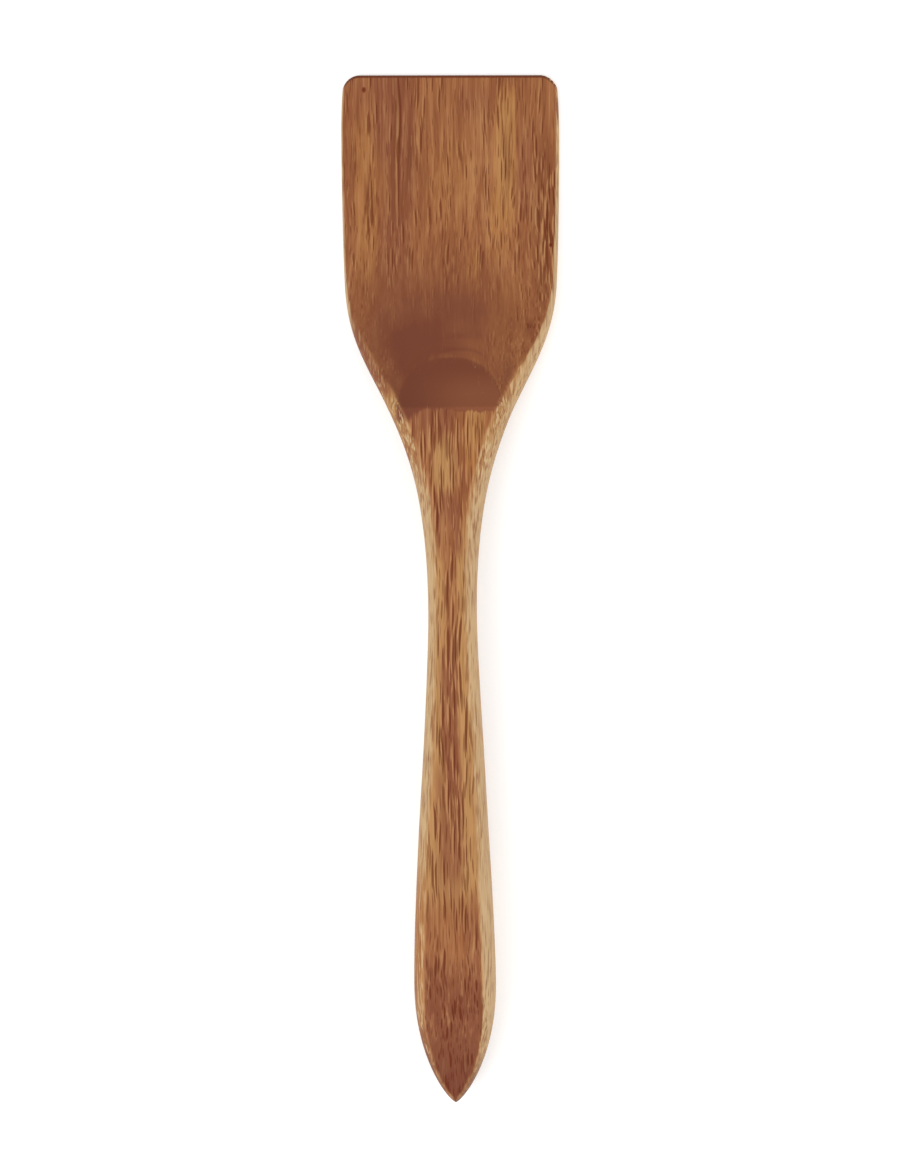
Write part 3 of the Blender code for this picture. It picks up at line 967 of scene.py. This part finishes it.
    def fibres(self, wood, open_grain, side):
        """Dark pores with pale flecks, and a painted highlight at one side of each bold pore,
        boldest at the right edge and on the handle.
        """
        group = self.noise(*PORE_GROUPS)
        edge = self.x.eased(*RIGHT_EDGE) * self.stretch(*DARK_RIGHT_EDGE)
        reach = group * 0.9 + edge * 0.14 + self.on_handle * 0.12 + 0.26
        bold = self.dashes(BOLD_PORES, reach)
        fine = self.dashes(FINE_PORES, reach)
        long = self.dashes(EDGE_PORES, edge * (self.streak * 2.0 + 0.45))
        # Painted highlight: a pale dash beside each bold pore, as if its groove were lit from one
        # side
        beside = self.dashes(BOLD_PORES, reach, 0.5)
        pale = self.dashes(FINE_FLECKS, reach)
        crack, shine = self.seam()
        along = open_grain * (1.0 - side * 0.75)
        pores = bold.most(fine * 0.7).most(crack).most(long) * along
        flecks = beside.most(pale * 0.8).most(shine) * along
        for x, station, radius in KNOTS:
            off = ((self.x - x) ** 2.0 + (self.station - station) ** 2.0 * 0.5).root()
            pores = pores.most(off.eased(radius * 0.6, radius * 1.4, 1.0, 0.0) * 1.2)
        bright = self.stretch(self.heel, 236.0, 10.0).most(edge) * 0.34 + 0.34
        bright = bright * self.station.eased(*FLECKS_FADE, 1.0, 0.1)
        wood = self.mixed(flecks * bright, wood, "fleck")
        wood = self.mixed(pores * (edge.most(self.on_handle) * 0.1 + 0.72), wood, "pore")
        return self.stippled(wood, side, group), pores

    def stippled(self, wood, side, group):
        """Fine specks on the sides, russet and pale, with few pale ones on the left shoulder."""
        stipple = self.noise(*STIPPLE)
        speck = side * self.station.eased(*STIPPLE_FADES, 1.0, 0.3)
        speck = speck * (group * 1.6 + 0.9) * self.outward.eased(0.75, 1.0, 1.0, 0.45)
        wood = self.mixed(stipple.eased(0.03, 0.15) * speck * 0.65, wood, "russet")
        dark = self.stretch(*DARK_LEFT_SHOULDER) * self.left * 0.7
        return self.mixed(stipple.eased(-0.02, -0.14) * speck * (1.0 - dark), wood, "sapwood_and_side_light")

    def surface(self, pores, cut):
        """Roughness and relief that follow the pores and the threads."""
        roughness = pores * PORE_ROUGHNESS + cut * CUT_ROUGHNESS + self.thread * THREAD_ROUGHNESS
        roughness = roughness + ROUGHNESS
        self.tree.links.new(roughness.socket, self.shader.inputs["Roughness"])
        self.shader.inputs["Specular IOR Level"].default_value = SHINE
        bump = self.tree.nodes.new("ShaderNodeBump")
        bump.inputs["Strength"].default_value = 1.0
        bump.inputs["Distance"].default_value = MM
        height = self.thread * THREAD_HEIGHT * (1.0 - cut) - pores * PORE_DEPTH
        self.tree.links.new(height.socket, bump.inputs["Height"])
        self.tree.links.new(bump.outputs[0], self.shader.inputs["Normal"])

    def build(self):
        """Lay the wood's colours over each other and wire up its surface."""
        side = self.side_share()
        wood = self.sides(self.growth(self.figure()), side)
        wood = self.mixed(self.on_handle * 0.05, wood, "oil")
        wood, cut = self.scoop(wood, side)

        # Front edge: darker cut fibres with painted shade where it faces forward
        front = self.facing[1].eased(0.1, 0.45) * self.station.eased(*FRONT_ENDS, 1.0, 0.0)
        wood = self.mixed(front, wood, "umber")
        wood = self.mixed(front * 0.3, wood, "pore")
        cut = cut.most(front)

        wood, pores = self.fibres(wood, 1.0 - cut, side)
        # Worn edges and painted highlight: the arrises lightened with the fleck colour
        worn_and_highlit = self.attribute("edge_wear_and_highlight") * (0.3 + self.ragged * 0.8)
        wood = self.mixed(worn_and_highlit, wood, "fleck")
        self.tree.links.new(wood, self.shader.inputs["Base Color"])
        self.surface(pores, cut)


class CarveBody(bpy.types.Operator):
    """Carve the body from one blank and oil it"""

    bl_idname = "spatula.carve_body"
    bl_label = "Carve Body"

    def execute(self, context):
        sizes = context.scene.spatula_sizes
        wood = WoodShader(context.scene.spatula_colours, sizes).material
        inputs = {
            SpatulaSizes.bl_rna.properties[key].name: getattr(sizes, key)
            for key in SpatulaSizes.__annotations__
        }
        inputs["Wood"] = wood
        body = made_by_nodes("carved_body", BodyTree().tree, inputs)
        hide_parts("spatula_body")
        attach(body, "root")
        return {"FINISHED"}


# Stage

# Floor: half of its width in metres, its grey, roughness and shine, and how much it glows for the
# camera alone
FLOOR_REACH = 3.0
FLOOR_GREY = 0.9
FLOOR_ROUGHNESS = 0.9
FLOOR_SHINE = 0.1
FLOOR_GLOW = 0.4

# Lamps: width and place in metres
KEY_WIDTH = 1.2
KEY_PLACE = (-1.0, -0.7, 1.1)
FILL_WIDTH = 1.0
FILL_PLACE = (1.2, 0.1, 0.7)

WHITE = (1.0, 1.0, 1.0, 1.0)


class SetStage(bpy.types.Operator):
    """Lay the floor, light it softly and set the camera"""

    bl_idname = "spatula.set_stage"
    bl_label = "Set Stage"

    def execute(self, context):
        stage = context.scene.spatula_stage
        self.lay_floor(context)
        self.light(context, stage)
        self.set_camera(context, stage)
        context.scene.view_settings.view_transform = "Standard"
        return {"FINISHED"}

    def lay_floor(self, context):
        """A pale floor that the camera sees a little brighter than the light leaves it."""
        mesh = bpy.data.meshes.new("floor")
        signs = ((-1, -1), (1, -1), (1, 1), (-1, 1))
        corners = [(x * FLOOR_REACH, y * FLOOR_REACH, 0.0) for x, y in signs]
        mesh.from_pydata(corners, [], [(0, 1, 2, 3)])
        floor = bpy.data.objects.new("floor", mesh)
        context.scene.collection.objects.link(floor)
        material = bpy.data.materials.new("Pale Floor")
        material.use_nodes = True
        tree = material.node_tree
        shader = tree.nodes["Principled BSDF"]
        shader.inputs["Base Color"].default_value = (FLOOR_GREY, FLOOR_GREY, FLOOR_GREY, 1.0)
        shader.inputs["Roughness"].default_value = FLOOR_ROUGHNESS
        shader.inputs["Specular IOR Level"].default_value = FLOOR_SHINE
        path = tree.nodes.new("ShaderNodeLightPath")
        seen = Wire(tree, path.outputs["Is Camera Ray"]) * FLOOR_GLOW
        shader.inputs["Emission Color"].default_value = WHITE
        tree.links.new(seen.socket, shader.inputs["Emission Strength"])
        mesh.materials.append(material)
        floor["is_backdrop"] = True

    def light(self, context, stage):
        """Even light from all round, which looks white where it is seen, and two soft lamps."""
        world = bpy.data.worlds.new("Soft Surroundings")
        context.scene.world = world
        world.use_nodes = True
        tree = world.node_tree
        background = tree.nodes["Background"]
        background.inputs["Color"].default_value = WHITE
        path = tree.nodes.new("ShaderNodeLightPath")
        seen = Wire(tree, path.outputs["Is Camera Ray"])
        for ray in ("Is Glossy Ray", "Is Transmission Ray"):
            seen = seen.most(Wire(tree, path.outputs[ray]))
        strength = seen.pick(stage.ambient, 1.0)
        tree.links.new(strength.socket, background.inputs["Strength"])
        self.lamp(context, "key", stage.key_power, KEY_WIDTH, Vector(KEY_PLACE))
        self.lamp(context, "fill", stage.fill_power, FILL_WIDTH, Vector(FILL_PLACE))

    def lamp(self, context, name, power, width, place):
        """A square lamp that shines on the middle of the stage."""
        light = bpy.data.lights.new(name, "AREA")
        light.shape = "SQUARE"
        light.size = width
        light.energy = power
        lamp = bpy.data.objects.new(name, light)
        turn = place.to_track_quat("Z", "Y").to_matrix().to_4x4()
        lamp.matrix_world = Matrix.Translation(place) @ turn
        context.scene.collection.objects.link(lamp)

    def set_camera(self, context, stage):
        """A camera that looks down on the tool from the photo's angle."""
        low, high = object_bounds()
        middle = (low + high) / 2
        view = Matrix.Rotation(stage.lean, 4, "Y") @ Matrix.Rotation(stage.roll, 4, "Z")
        data = bpy.data.cameras.new("camera")
        data.lens = data.sensor_width * stage.distance / stage.field
        camera = bpy.data.objects.new("camera", data)
        aim = Matrix.Translation(middle + Vector((stage.aim_across, stage.aim_along, 0.0)))
        camera.matrix_world = aim @ view @ Matrix.Translation((0.0, 0.0, stage.distance))
        context.scene.collection.objects.link(camera)
        context.scene.camera = camera


OPERATORS = (CarveBody, SetStage)
GROUPS = {
    "spatula_sizes": SpatulaSizes,
    "spatula_colours": SpatulaColours,
    "spatula_stage": SpatulaStage,
}


class SpatulaPanel(bpy.types.Panel):
    """Sizes, colours and steps of the wooden spatula"""

    bl_idname = "SPATULA_PT_maker"
    bl_label = "Wooden Spatula"
    bl_space_type = "VIEW_3D"
    bl_region_type = "UI"
    bl_category = "Spatula"

    def draw(self, context):
        for name, group in GROUPS.items():
            box = self.layout.box()
            for key in group.__annotations__:
                box.prop(getattr(context.scene, name), key)
        for operator in OPERATORS:
            self.layout.operator(operator.bl_idname)


def register():
    for kind in (*GROUPS.values(), *OPERATORS, SpatulaPanel):
        bpy.utils.register_class(kind)
    for name, group in GROUPS.items():
        setattr(bpy.types.Scene, name, bpy.props.PointerProperty(type=group))


def unregister():
    for name in GROUPS:
        delattr(bpy.types.Scene, name)
    for kind in reversed((*GROUPS.values(), *OPERATORS, SpatulaPanel)):
        bpy.utils.unregister_class(kind)


def main():
    register()
    bpy.ops.spatula.carve_body()
    bpy.ops.spatula.set_stage()


if __name__ == "__main__":
    main()
